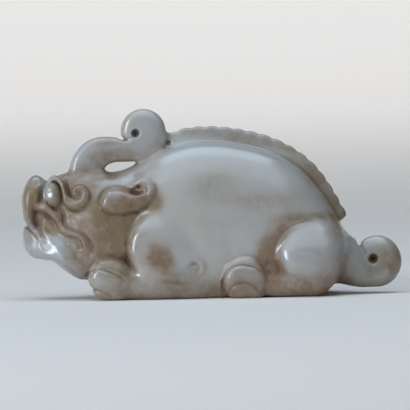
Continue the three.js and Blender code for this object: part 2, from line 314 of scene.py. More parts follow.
# Crest along the spine
crest = {
    "stand": [2.8, 4.1, 4.2, 4.2, 4.2, 4, 3.8, 3.5, 3.2, 2.8],  # height of its edge over the back
    "sink": 4, "scallops": 17, "scallopSteps": 14, "scallopDepth": 0.38, "scallopRound": 0.8,
    "foot": 2.7, "edge": 1, "flare": 1.5,  # half thickness, and how it grows towards the foot
    "thinsFrom": -1.6, "thinsOver": 6,  # from the line of the back, upwards
    "rimBlend": 1, "blend": 0.8,
    "furrow": {"depth": [0.06, 0], "left": 0.9, "low": -9, "smooth": False},
    "furrowStart": 0.4, "furrowLength": 2.4,
    "footLine": {"depth": [0.02, 0.1, 0.2, 0.3, 0.3, 0.1], "left": 0.7, "low": 1.5}, "footLineUp": 0.2,
    "knob": {"at": [39.5, 24.3], "halves": (1.4, 1.8, 1.7), "blend": 1, "lean": -20},
}


def makeCrest():
    spine = smoothLine(back, 12)
    along = np.gradient(spine, axis=0)
    along /= np.linalg.norm(along, axis=1, keepdims=True)
    up = np.stack([-along[:, 1], along[:, 0]], axis=1)
    run = np.concatenate([[0], np.cumsum(np.linalg.norm(np.diff(spine, axis=0), axis=1))])
    steps, scallops, depth = crest["scallopSteps"], crest["scallops"], crest["scallopDepth"]
    even = np.linspace(0, run[-1], scallops * steps + 1)
    place = even / run[-1]
    at = np.stack([np.interp(even, run, spine[:, k]) for k in (0, 1)], axis=1)
    out = np.stack([np.interp(even, run, up[:, k]) for k in (0, 1)], axis=1)
    bump = np.abs(np.sin(np.pi * scallops * place)) ** crest["scallopRound"] * depth
    tall = spread(crest["stand"], place) - depth / 2 + bump
    rim = np.vstack([at + out * tall[:, None], (at - out * crest["sink"])[::-1]])
    w = window(rim.min(axis=0), rim.max(axis=0))
    x, z = sideGrid(w)
    edge = toOutline(rim, x, z)
    away, _, side = toLine(spine, x, z)
    high = np.clip((away * side - crest["thinsFrom"]) / crest["thinsOver"], 0, 1)
    thick = crest["edge"] + (crest["foot"] - crest["edge"]) * (1 - high) ** crest["flare"]
    slab = np.abs(ys)[None, :, None] - thick[:, None, :]
    join(w, softMax(edge[:, None, :], slab, crest["rimBlend"]), crest["blend"])
    # a shallow furrow runs down the side of the crest from each dip of its edge
    for i in range(steps, scallops * steps, steps):
        tip = at[i] + out[i] * (tall[i] + crest["furrowStart"])
        line([tip, tip - out[i] * crest["furrowLength"]], **crest["furrow"])
    dips = slice(steps, -2 * steps, steps)
    line(at[dips] + out[dips] * crest["footLineUp"], **crest["footLine"])
    ball(**crest["knob"])


# Horn, with an open slit under it, a blind hole in each side of its scroll, and a small pit on each
# side where it meets the crest
horn = {
    "bar": {
        "points": [[-37.6, 35], [-37.7, 40], [-35.6, 43.3], [-31, 45.1], [-24.5, 45], [-18.6, 46.2],
                   [-16.4, 49]],
        "widths": [6.2, 5.6, 5.2, 4, 3.6, 4, 3.2], "depths": [6, 5.2, 4.6, 4.3, 4.2, 3.9, 3.2], "blend": 2.2,
        "power": 4.2,
    },
    "scroll": {"at": [-20.6, 50.9], "halves": (6.9, 6.7, 4.1), "blend": 0.5, "power": 3.5},
    "slit": {"outline": [[-32.7, 39.4], [-31.7, 40.7], [-29.6, 41.4], [-26.1, 41.4], [-23, 41.6],
                         [-25.2, 40.5], [-28.2, 39.3], [-31, 38.8]], "blend": 0.8},
    "hole": {"at": [-22.9, 50.3], "diameter": 2.5, "waist": 0.5, "depth": 3, "blend": 0.5},
    "pit": {"at": [-12.9, 47.1], "diameter": 1.6, "waist": -1, "depth": 1.2, "blend": 0.3},
    "crease": {"points": [[-27.8, 48.9], [-26, 48.4], [-23.8, 49]], "depth": [1.2, 0.5, 0.2], "left": 0.6,
               "low": -9},
}


def makeHorn():
    strand(**horn["bar"])
    ball(**horn["scroll"])


def pierceHorn():
    pierce(**horn["slit"])
    drill(**horn["hole"])
    drill(**horn["pit"])
    line(**horn["crease"])


# Tail, with a blind hole in each side of its scroll
tail = {
    "bar": {"points": [[33, 13.4], [38.5, 11.2], [43, 8.2], [47, 6.6], [52, 7]],
            "widths": [8.8, 8, 6.2, 4.8, 4], "depths": [9.6, 8, 6.4, 5.2, 4.6], "blend": 2.5, "power": 2.4},
    "scroll": {"at": [50.4, 9.8], "halves": (7.6, 7.9, 4.2), "blend": 0.8, "power": 2.6},
    "hole": {"at": [49.2, 10.7], "diameter": 3, "waist": 0.5, "depth": 3.4, "blend": 0.5},
    "crease": {"points": [[45, 15.6], [45.8, 13.4], [47.4, 11.8]], "depth": [1.3, 0.6, 0.2], "left": 0.7,
               "low": -9},
}


def makeTail():
    strand(**tail["bar"])
    ball(**tail["scroll"])


def pierceTail():
    drill(**tail["hole"])
    line(**tail["crease"])


# Head
skull = {
    "outline": [[-52.6, 32], [-51.3, 34.6], [-50, 36.2], [-48, 37.6], [-43.5, 38.6], [-38, 38.3], [-31, 38],
                [-25, 37.4], [-19.4, 34], [-18, 28], [-18.5, 22], [-19, 14], [-24, 8], [-32.6, 5.8],
                [-39, 5.8], [-43.6, 7.8], [-47.6, 10.8], [-51, 17], [-52.6, 25]],
    "core": [[-41, 22], [-30, 21]], "half": 12.8, "fullness": 2.8, "blend": 2,
    "share": ((-53, 0.54), (-44, 0.75), (-34, 0.98)),
}
nose = {
    "palate": {"at": [-53.2, 25.5], "halves": (3.2, 4.4, 3.8), "blend": 1},
    "trough": {"at": [-52, 31.8], "halves": (3.4, 4.6, 4.6), "blend": 1.2},
    "band": {
        "points": [[-53.7, 35.2], [-54.8, 33.2], [-55.5, 31], [-55.8, 28.4], [-56.1, 26], [-56, 24],
                   [-55.1, 22], [-54.1, 20.6]],
        "widths": [2.9, 2.9, 2.8, 2.5, 2.0, 1.6, 1.2, 0.7], "depths": [4.8, 5.5, 6, 6.2, 6.1, 6, 5.8, 5.4],
        "blend": 0.8, "power": 2.5,
    },
    "wing": {
        "outline": [[-57.8, 29], [-57.6, 31.4], [-56.8, 33.6], [-55, 35.5], [-52.8, 36.3], [-51.2, 35.7],
                    [-51.4, 34], [-52, 32], [-52.4, 30], [-53.2, 28.2], [-54.8, 27.2], [-57, 27.2]],
        "core": [[-54.4, 32.4], [-55, 30]], "half": 6.1, "fullness": 3, "blend": 0.6,
        "share": ((-57.5, 0.9), (-52, 1.03)),
    },
    "ridge": {"at": [-58.1, 30], "halves": (0.7, 4.6, 0.7), "blend": 0.6, "lean": -4, "cut": True},
    "nostril": {"at": [-58.2, 27.2], "halves": (1.5, 1.2, 1.1), "blend": 0.5, "side": 2.5, "cut": True},
}
gum = {
    "outline": [[-52.7, 27], [-50.4, 26.8], [-47.6, 25], [-45.4, 21.6], [-44.6, 18.6], [-48, 16.8],
                [-52.2, 18.8], [-53, 22]],
    "core": [[-51.4, 23.2], [-48.2, 21.4]], "half": 6.9, "fullness": 3.4, "blend": 0.9,
    "share": ((-54, 0.84), (-51.4, 0.95), (-47, 1.07)),
}
lip = {
    "outline": [[-54.6, 29.2], [-52.6, 30.2], [-50.6, 30.6], [-48.4, 29.6], [-45.6, 28], [-44.6, 25],
                [-45, 22], [-46, 20.2], [-47.4, 22], [-49.2, 24.6], [-51.4, 26.2], [-54.4, 27.2]],
    "core": [[-53, 28.4], [-50, 27.8], [-47.4, 25.2]], "half": 7.8, "fullness": 2.4, "blend": 1.2,
    "share": ((-55, 0.82), (-51, 0.98), (-46, 1.08)),
}
jaw = {
    "outline": [[-57.5, 22.6], [-58.1, 18.8], [-57.4, 15.2], [-55.2, 12.9], [-51.6, 12.1], [-48.6, 11.4],
                [-45, 8.6], [-40, 6], [-36, 10], [-38.2, 16.6], [-43, 20], [-48, 21.6], [-52, 22.4],
                [-55, 23.4]],
    "core": [[-53.4, 16.2], [-43, 11.8]], "half": 9, "fullness": 2.4, "blend": 1.2,
    "share": ((-57, 0.7), (-54, 0.81), (-50, 0.99), (-47, 1.09), (-42, 1.12)),
}


def makeHead():
    boss(**skull)
    ball(**nose["palate"])
    ball(**nose["trough"])
    boss(**gum)
    boss(**lip)
    strand(**nose["band"])
    boss(**nose["wing"])
    boss(**jaw)


def carveNose():
    ball(**nose["ridge"])
    ball(**nose["nostril"])


mouth = {
    "opening": [[-56.2, 26.8], [-55.2, 28], [-53.8, 27.8], [-52.8, 26.6], [-52.4, 25], [-52.5, 23.4],
                [-53, 21.8], [-53.8, 22.6], [-54.8, 24.2], [-55.8, 25.6]],
    # how far out the hollow starts, along x
    "floor": ((-56.4, 6.2), (-55.2, 5.7), (-54.2, 5.3), (-53, 5.1)), "floorBlend": 1.4, "blend": 1,
}


def carveMouth():
    outline = smoothLine(mouth["opening"], closed=True)
    w = window(outline.min(axis=0), outline.max(axis=0))
    x, z = sideGrid(w)
    floor = flow(*zip(*mouth["floor"]), x)[:, None, :] - ys[None, :, None]
    carve(w, softMax(toOutline(outline, x, z)[:, None, :], floor, mouth["floorBlend"]), mouth["blend"])


face = {
    "eye": {"at": (-48.4, 32.1), "halves": (2.75, 4.2, 2.9), "blend": 0.6, "lean": 8, "side": 7},
    "eyeFlat": {"at": (-49.5, 32.3), "out": 9.4, "slopes": (0.43, -0.12), "reach": 0.5, "blend": 0.2},
    "curl": {"at": [-40.1, 31.5], "halves": (3.2, 3.3, 1.9), "blend": 1, "side": 9.4},
    # one ribbon goes over the eye, down behind it and round into the curl of the brow
    "brow": {
        "points": [[-50.3, 35.3, 6.2], [-49.3, 36.4, 6.6], [-48, 37, 7], [-46.4, 36.2, 7.5],
                   [-45.4, 34.6, 8], [-44.9, 32.8, 8.4], [-44.5, 31.2, 8.7], [-43.4, 29.9, 9.1],
                   [-41.6, 29.2, 9.6], [-39.8, 29.6, 10.1], [-38.6, 31, 10.4], [-38.5, 32.7, 10.3],
                   [-39.4, 33.9, 9.9], [-40.8, 34.2, 9.5], [-41.8, 33.5, 9.3], [-41.8, 32.5, 9.3]],
        "widths": [0.5, 0.6, 0.7, 0.8, 0.9, 1, 1.2, 1.5, 1.75, 1.75, 1.65, 1.4, 1.1, 1, 0.8, 0.6],
        "depths": [1.8, 1.8, 1.8, 1.9, 2], "blend": 0.7, "power": 2.6,
    },
}


def makeFace():
    ball(**face["eye"])
    wear(**face["eyeFlat"])
    ball(**face["curl"])
    strand(**face["brow"])


faceLines = {
    "lipBand": {
        "points": [[-53.4, 28], [-51.4, 28.1], [-49.2, 27], [-47.4, 25.2], [-46.4, 23], [-45, 21.2],
                   [-43, 20.3], [-41.2, 19.6]],
        "depth": [-0.1, -0.3, -0.4, -0.45, -0.45, -0.35, -0.1], "left": 1.5,
    },
    "lipUnderside": {
        "points": [[-53.4, 26.9], [-52.1, 26.3], [-50.4, 25.6], [-48.9, 24.5], [-47.7, 22.8], [-46.8, 21],
                   [-46, 19.8]],
        "depth": [0.1, 0.4, 0.4, 0.4, 0.3, 0.1], "left": 0.45, "right": 1.2,
    },
    "cheekFold": {
        "points": [[-46.6, 28.4], [-45.9, 27.2], [-45.3, 25.7], [-45.3, 24.1], [-44.9, 22.7], [-43.8, 21.7],
                   [-42.2, 21.1], [-40.3, 20.4], [-38.6, 19.4], [-37.2, 17.9], [-36.6, 16.2], [-36.7, 14.6],
                   [-37.4, 13]],
        "depth": [0.2, 0.7, 0.9, 0.8, 0.6, 0.5, 0.6, 0.7, 0.8, 0.9, 0.9, 0.7, 0.2], "left": 0.6,
        "right": [0.8, 0.8, 0.8, 1.4, 2.4, 2.6],
    },
    "mouthCorner": {
        "points": [[-46.4, 20.6], [-44.6, 19.8], [-42.6, 19.4], [-41, 18.7], [-40.1, 17.5], [-39.8, 16.4],
                   [-40.4, 15.6], [-41.5, 15.3]],
        "depth": [0.1, 0.4, 0.55, 0.75, 0.85, 0.7, 0.4, 0.05], "left": 0.45,
        "right": [1.6, 2, 2.4, 2.2, 1.4],
    },
    "lowerLid": {"points": [[-51.2, 31.6], [-50.4, 30.2], [-49, 28.9], [-47.5, 27.8], [-46.2, 27.6]],
                 "depth": [0.1, 0.4, 0.6, 0.7, 0.3], "left": 0.5, "right": 0.9},
    "browInside": {
        "points": [[-50, 35.2], [-49, 36], [-47.8, 36.2], [-46.5, 35.2], [-45.9, 33.5], [-45.6, 31.4],
                   [-45.8, 29.4], [-46.4, 28]],
        "depth": [0.05, 0.2, 0.3, 0.45, 0.5, 0.5, 0.5, 0.3], "left": 0.45,
    },
    "browFold": {"points": [[-44.8, 36.2], [-44.4, 34.8], [-43.9, 33.1], [-43.1, 31.9], [-42.1, 31.3]],
                 "depth": [0.2, 0.6, 0.9, 0.8, 0.5], "left": 0.75},
    "browCurl": {"points": [[-42.4, 31.4], [-41.4, 31.1], [-40.4, 31.5], [-39.9, 32.4], [-40.5, 33.1]],
                 "depth": [0.5, 0.4, 0.35, 0.3, 0.1], "left": 0.5},
    "noseSide": {"points": [[-51.2, 35.8], [-51.6, 34], [-52, 32], [-51.9, 30.6]],
                 "depth": [0.2, 0.6, 0.6, 0.2], "left": 1.1},
    "frontLips": {"points": [[-57.7, 24], [-56.6, 22.2], [-55.4, 20.9], [-54, 19.6], [-53.6, 18]],
                  "depth": [0.5, 0.8, 0.8, 0.5, 0.1], "left": 0.5, "right": 0.9, "low": -9},
}
# the side of the jaw is worn, and its folds run out there
jawFlat = {"at": (-50.1, 17.3), "out": 8.4, "slopes": (0.375, -0.07), "reach": 2, "blend": 0.4}
jawFolds = {
    "chin": {"points": [[-54.6, 18.8], [-54, 16.6], [-53.9, 14.4]], "depth": [0.2, 0.35, 0.2], "left": 1.6},
    "longRidge": {
        "points": [[-52.4, 22.6], [-51.2, 20.8], [-49.9, 19.2], [-48.8, 17.8], [-47.9, 16.5], [-46.7, 14.7],
                   [-45.5, 12.8], [-44.8, 11.1]],
        "depth": [-0.1, -0.5, -0.35, -0.12, -0.12, -0.3, -0.3, -0.1], "left": 1, "right": 1.2,
    },
    "shortGroove": {"points": [[-53, 21], [-52.1, 19.7], [-51, 18.4], [-50, 17.4]],
                    "depth": [0.1, 0.4, 0.25, 0], "left": 0.6},
    "shortRidge": {"points": [[-53.7, 20.3], [-52.7, 19.1], [-51.6, 18.2], [-50.6, 17.6]],
                   "depth": [-0.1, -0.4, -0.3, -0.02], "left": 0.8, "right": 0.9},
}


def cutFace():
    cutLines(faceLines)
    wear(**jawFlat)
    cutLines(jawFolds)


# Ears
ear = {
    "tip": {"at": (-20.8, 33.8), "halves": (2.6, 2.4, 2.6), "blend": 1.2, "side": 9.8},
    "lobe": {
        "outline": [[-34.2, 29.2], [-33.4, 31.7], [-31.6, 33.4], [-28.5, 33.7], [-25.6, 33], [-23, 32.2],
                    [-20.6, 33.2], [-18.4, 34], [-17.2, 31.8], [-18.2, 29.2], [-21.5, 27], [-25.6, 25.7],
                    [-29.8, 25.6], [-32.8, 26.9]],
        "core": [[-31, 29.4], [-22, 30.2]], "half": 5.3, "fullness": 3.2,
        "blend": ((-34, 0.6), (-22, 0.7), (-18.6, 1.2), (-17, 2.2)), "middle": 9,
        "share": ((-34, 1.02), (-26, 0.98), (-17, 0.84)),
    },
    "curl": {
        "points": [[-18.7, 31.8, 11.6], [-18.5, 34, 11.9], [-19.8, 35.4, 11.9], [-21.7, 35.7, 11.7],
                   [-23.3, 35, 11.2], [-24.4, 34, 10.6]],
        "widths": [1.4, 1.4, 1.2, 1.1, 0.9, 0.7], "depths": [2, 1.8, 1.5, 1.4, 1.3, 1.2], "blend": 0.8,
    },
}
earLines = {
    "rim": {
        "points": [[-34.5, 28.2], [-34.2, 30.6], [-33.3, 32.4], [-31.5, 33.8], [-28.6, 34.2], [-25.9, 33.5],
                   [-23.9, 32.6], [-22.2, 32.2], [-21.2, 32.9], [-21.5, 34.1]],
        "depth": [0.2, 0.6, 0.5, 0.45, 0.4, 0.5, 0.7, 0.8, 0.7, 0.3], "left": 0.6, "right": 0.5,
    },
    "pit": {"points": [[-22.2, 34.3], [-22, 34.1]], "depth": 1.2, "left": 0.8, "low": 8},
}


def makeEar():
    ball(**ear["tip"])
    boss(**ear["lobe"])
    strand(**ear["curl"])


# Shoulders and fore legs
fore = {
    "forearm": {
        "points": [[2, 4, 9.4], [-8, 4.2, 10.6], [-17, 4.6, 11.4], [-26, 5, 11.6], [-31, 5.4, 11.2]],
        "widths": [4.2, 4.6, 4.8, 5, 4.8], "depths": [4, 4.6, 4.7, 4.6, 4.6], "blend": 2, "power": 2.2,
    },
    "shoulder": {
        "outline": [[-26.4, 15], [-25.8, 19.4], [-23.4, 23], [-18.8, 24.4], [-14.4, 23.2], [-9, 19],
                    [-4.8, 15.4], [-1.2, 12.2], [-0.6, 7.9], [-3.2, 4.6], [-8.4, 4.2], [-14.6, 5.2],
                    [-20, 6], [-23.4, 8]],
        "core": [[-19.4, 11.6], [-8, 9.4]], "half": 8.3, "fullness": 4,
        "blend": ((-26, 0.7), (-24.4, 1), (-22.6, 3), (-19, 5), (-12, 5.4), (-4, 3)), "middle": 8.2,
        "share": ((-24, 1), (-17, 0.97), (-9, 0.84), (-1, 0.74)),
    },
    "paw": {
        "outline": [[-38.3, 7.2], [-37.5, 10], [-34.9, 12.5], [-31.2, 13.2], [-27.4, 12], [-25, 9], [-25, 4],
                    [-27.4, -0.2], [-31, -0.6], [-35, 0.6], [-37.2, 3.4]],
        "core": [[-33, 6.4], [-30.4, 6.2]], "half": 6.3, "fullness": 3,
        "blend": ((-38, 0.8), (-29, 0.8), (-26, 1.8)), "middle": 10.6,
    },
}
foreLines = {
    "toe": {"points": [[-38.8, 7.6], [-37.6, 8.8], [-35.4, 9.8], [-32.6, 9.3], [-29.4, 8], [-26, 6]],
            "depth": [0.5, 0.5, 0.5, 0.5, 0.4, 0.1], "left": 0.4, "right": 1.1, "low": 2},
    "claw": {"points": [[-38.4, 3.9], [-36.4, 3.5], [-33.6, 2.4], [-31, 0.9]], "depth": [0.9, 0.6, 0.4, 0.2],
             "left": 0.8, "right": 0.4, "low": 0},
    "elbowPit": {"points": [[-8.6, 9], [-6.8, 10.4], [-5.2, 10.6], [-4.6, 9.6]],
                 "depth": [0.02, 0.2, 0.55, 0.15], "left": 1.1},
    "elbowRidge": {"points": [[-5, 12.2], [-3.6, 11.2], [-3, 9.4], [-4, 7.6], [-6.4, 6.8]],
                   "depth": [-0.05, -0.35, -0.4, -0.25, -0.05], "left": 1.2},
    "forearm": {"points": [[-22.6, 8.2], [-18.8, 6.9], [-14.9, 5.9], [-10.3, 5.2], [-5.1, 4.8], [-2.2, 6]],
                "depth": [0, 0.1, 0.25, 0.35, 0.25, 0], "left": 1.6, "right": 1},
}


def makeFore():
    strand(**fore["forearm"])
    boss(**fore["shoulder"])
    boss(**fore["paw"])


# Haunches and hind legs
hind = {
    "shank": {"points": [[12, 4.4, 10.4], [20, 4, 11], [31, 4, 10.8]], "widths": 4,
              "depths": [4.4, 4.8, 4.8], "blend": 2, "power": 2.2},
    "haunch": {
        "outline": [[17.8, 13.6], [18.8, 17.6], [21.2, 21], [25.4, 23.2], [30.8, 23.8], [36, 22.4],
                    [39.8, 18.6], [41, 12.6], [39.2, 6.8], [36, 3], [31.4, 1.2], [26.6, 2.6], [22.4, 5.8],
                    [19.2, 9.4]],
        "core": [[26, 12], [32, 11]], "half": 9.6, "fullness": 2.2,
        "blend": ((18, 1), (25, 1.5), (31, 2.6), (36, 3.6), (41, 4)), "middle": 8.4, "lean": (-0.05, -0.17),
    },
    "paw": {
        "outline": [[2.2, 6.2], [3.2, 9.6], [5.8, 12.3], [9.8, 13.7], [13.6, 12.3], [16.1, 9], [16.6, 4],
                    [14.6, -0.8], [8, -1], [4, 1.2]],
        "core": [[8.4, 6.4], [10.8, 6.4]], "half": 6.3, "fullness": 3.2,
        "blend": ((3, 0.7), (13, 0.8), (16, 1.4)), "middle": 10.8,
    },
}
hindLines = {
    "pawRim": {
        "points": [[2.9, 2], [2.8, 4.6], [3.7, 7.4], [5.2, 9.2], [7.8, 10.2], [10.6, 10.1], [13.3, 9.3],
                   [15.8, 7.6]],
        "depth": [0.4, 0.8, 0.9, 0.8, 0.7, 0.7, 0.6, 0.2], "left": 0.4, "right": 1,
    },
    "toe": {"points": [[4.4, 1.6], [5.2, 3], [6.6, 4.3], [8.8, 4.9], [11.1, 4.4], [13.2, 3.1], [14.9, 1.3]],
            "depth": [0.4, 0.4, 0.5, 0.6, 0.6, 0.5, 0.2], "left": 0.4, "right": 1},
    "claw": {"points": [[7.8, 2.9], [9.4, 3.2], [11, 2.6], [12.4, 1.2]], "depth": [0.05, 0.25, 0.25, 0.1],
             "left": 0.4, "right": 0.8},
    "haunchGroove": {
        "points": [[19.6, 8.4], [18.6, 11.6], [18.8, 15], [20.4, 18.6], [23.2, 21.2], [27, 22.6], [31, 23]],
        "depth": [0.05, 0.2, 0.3, 0.3, 0.3, 0.2, 0.05], "left": 0.8, "right": 1,
    },
    "haunchRidge": {"points": [[16.4, 14], [17.2, 18], [20, 21.6], [24.4, 24]], "depth": [0, -0.3, -0.3, 0],
                    "left": 1.4},
}


def makeHind():
    strand(**hind["shank"])
    boss(**hind["haunch"])
    boss(**hind["paw"])


undersideBlend = 0.8  # how far the edge of the flat underside is worn


def flattenUnderside():
    stone[:] = softMax(stone, -zs[None, None, :].astype(np.float32), undersideBlend)


# A light rub along each axis takes off the finest edges, as polishing does
def polish(rounds):
    for _ in range(rounds):
        for axis in range(3):
            ahead, behind = np.roll(stone, -1, axis), np.roll(stone, 1, axis)
            first, last = [slice(None)] * 3, [slice(None)] * 3
            first[axis], last[axis] = 0, -1
            behind[tuple(first)] = ahead[tuple(first)] if axis == 1 else stone[tuple(first)]
            ahead[tuple(last)] = stone[tuple(last)]
            stone[:] = stone / 2 + (ahead + behind) / 4


def buildStone():
    boss(**trunk)
    makeCrest()
    makeHead()
    makeHorn()
    makeTail()
    makeFore()
    makeHind()
    carveNose()
    carveMouth()
    makeFace()
    makeEar()
    cutFace()
    cutLines(earLines)
    cutLines(foreLines)
    cutLines(hindLines)
    pierceHorn()
    pierceTail()
    flattenUnderside()
    polish(rounds=2)


# The stone's distance and its slope at any points, read between the lattice points
def readStone(block, points, size):
    start = np.array([lattice["x"][0], lattice["y"][0], lattice["z"][0]])
    p = points.copy()
    p[:, 1] = np.abs(p[:, 1])
    at = np.clip((p - start) / size, 0, np.array(block.shape) - 1.001)
    i = at.astype(int)
    t = at - i
    corner = {}
    for a, b, c in np.ndindex(2, 2, 2):
        corner[a, b, c] = block[i[:, 0] + a, i[:, 1] + b, i[:, 2] + c].astype(float)
    x, y, z = t.T
    low = {}
    for b, c in np.ndindex(2, 2):
        low[b, c] = corner[0, b, c] * (1 - x) + corner[1, b, c] * x
    return (low[0, 0] * (1 - y) + low[1, 0] * y) * (1 - z) + (low[0, 1] * (1 - y) + low[1, 1] * y) * z


def slopeOf(points, reach):
    out = np.empty_like(points)
    for axis in range(3):
        step = np.zeros(3)
        step[axis] = reach
        out[:, axis] = readStone(stone, points + step, cell) - readStone(stone, points - step, cell)
    return out / (2 * reach)


# A net of four-sided faces over the stone's surface, one point in each lattice cell that it crosses
def takeSurface():
    block = np.concatenate([stone[:, :0:-1, :], stone], axis=1)
    solid = block < 0
    nx, ny, nz = (n - 1 for n in block.shape)
    count = np.zeros((nx, ny, nz), np.uint8)
    for a, b, c in np.ndindex(2, 2, 2):
        count += solid[a:a + nx, b:b + ny, c:c + nz]
    cells = np.argwhere((count > 0) & (count < 8))
    total, hits = np.zeros((len(cells), 3)), np.zeros(len(cells))
    for axis in range(3):
        others = [k for k in range(3) if k != axis]
        for p, q in np.ndindex(2, 2):
            near = np.zeros(3, int)
            near[others[0]], near[others[1]] = p, q
            far = near.copy()
            far[axis] = 1
            f0, f1 = (block[tuple((cells + k).T)].astype(float) for k in (near, far))
            crossed = (f0 < 0) != (f1 < 0)
            t = np.where(crossed, f0 / np.where(crossed, f0 - f1, 1), 0)
            place = near + np.zeros_like(total)
            place[:, axis] = t
            total[crossed] += place[crossed]
            hits += crossed
    points = cells + total / hits[:, None]
    index = np.full((nx, ny, nz), -1, np.int32)
    index[tuple(cells.T)] = np.arange(len(cells))
    faces = []
    for axis in range(3):
        b, c = (axis + 1) % 3, (axis + 2) % 3
        here, ahead = [slice(None)] * 3, [slice(None)] * 3
        here[axis], ahead[axis] = slice(0, -1), slice(1, None)
        first, second = solid[tuple(here)], solid[tuple(ahead)]
        edges = np.argwhere(first != second)
        edges = edges[(edges[:, b] > 0) & (edges[:, c] > 0)]
        stepB, stepC = np.zeros(3, int), np.zeros(3, int)
        stepB[b], stepC[c] = 1, 1
        around = (0 * stepB, stepB, stepB + stepC, stepC)
        quad = np.stack([index[tuple((edges - s).T)] for s in around], axis=1)
        outward = first[tuple(edges.T)]
        quad[~outward] = quad[~outward][:, ::-1]
        faces.append(quad)
    points = points * cell + np.array([lattice["x"][0], -ys[-1], lattice["z"][0]])
    return points, np.concatenate(faces)


mesh = {
    "triangles": 186000,
    "rounds": 3, "pull": 0.6, "mostMove": 0.3,  # how the points settle, in millimetres a round at most
}


# Each point is drawn to the middle of its neighbours and back onto the surface
def settle(points, faces):
    for _ in range(mesh["rounds"]):
        total, hits = np.zeros_like(points), np.zeros(len(points))
        for k in range(4):
            for other in (faces[:, (k + 1) % 4], faces[:, k - 1]):
                for axis in range(3):
                    total[:, axis] += np.bincount(faces[:, k], points[other, axis], len(points))
                hits += np.bincount(faces[:, k], minlength=len(points))
        points = points + mesh["pull"] * (total / hits[:, None] - points)
        slope = slopeOf(points, cell / 2)
        steep = np.maximum((slope ** 2).sum(axis=1), 0.05)
        off = np.clip(readStone(stone, points, cell), -mesh["mostMove"], mesh["mostMove"])
        points -= slope * (off / steep)[:, None]
    return points


def makeFigure():
    points, faces = takeSurface()
    print("surface taken:", len(points), "points")
    points = settle(points, faces)
    data = bpy.data.meshes.new("qilin")
    data.from_pydata(points, [], faces)
    data.update()
    raw = bpy.data.objects.new("qilin_raw", data)
    bpy.context.scene.collection.objects.link(raw)
    thin = raw.modifiers.new("thin", "DECIMATE")
    thin.ratio = min(1, mesh["triangles"] / (2 * len(faces)))
    thin.use_collapse_triangulate = True
    bpy.context.view_layer.update()
    done = bpy.data.meshes.new_from_object(raw.evaluated_get(bpy.context.evaluated_depsgraph_get()))
    bpy.data.objects.remove(raw)
    done.name = "qilin"
    figure = bpy.data.objects.new("qilin", done)
    bpy.context.scene.collection.objects.link(figure)
    return figure


# How hollow (above 0) or raised (below 0) the surface is at each point. The distances are pooled to a
# coarser lattice and averaged there, round by round. A hollow has more stone around it, so its average
# is lower than its own distance.
def hollowness(points, pool, rounds):
    nx, ny, nz = (n // pool * pool for n in stone.shape)
    block = stone[:nx, :ny, :nz].reshape(nx // pool, pool, ny // pool, pool, nz // pool, pool)
    block = block.mean(axis=(1, 3, 5))
    before = block.copy()
    for _ in range(rounds):
        for axis in range(3):
            padded = np.concatenate([block.take([0], axis), block, block.take([-1], axis)], axis)
            n = block.shape[axis]
            block = block / 2 + (padded.take(range(0, n), axis) + padded.take(range(2, n + 2), axis)) / 4
    shift = np.array([(pool - 1) / 2 * cell] * 3)
    p = points.copy()
    p[:, 1] = np.abs(p[:, 1])
    return readStone(before, p - shift, cell * pool) - readStone(block, p - shift, cell * pool)
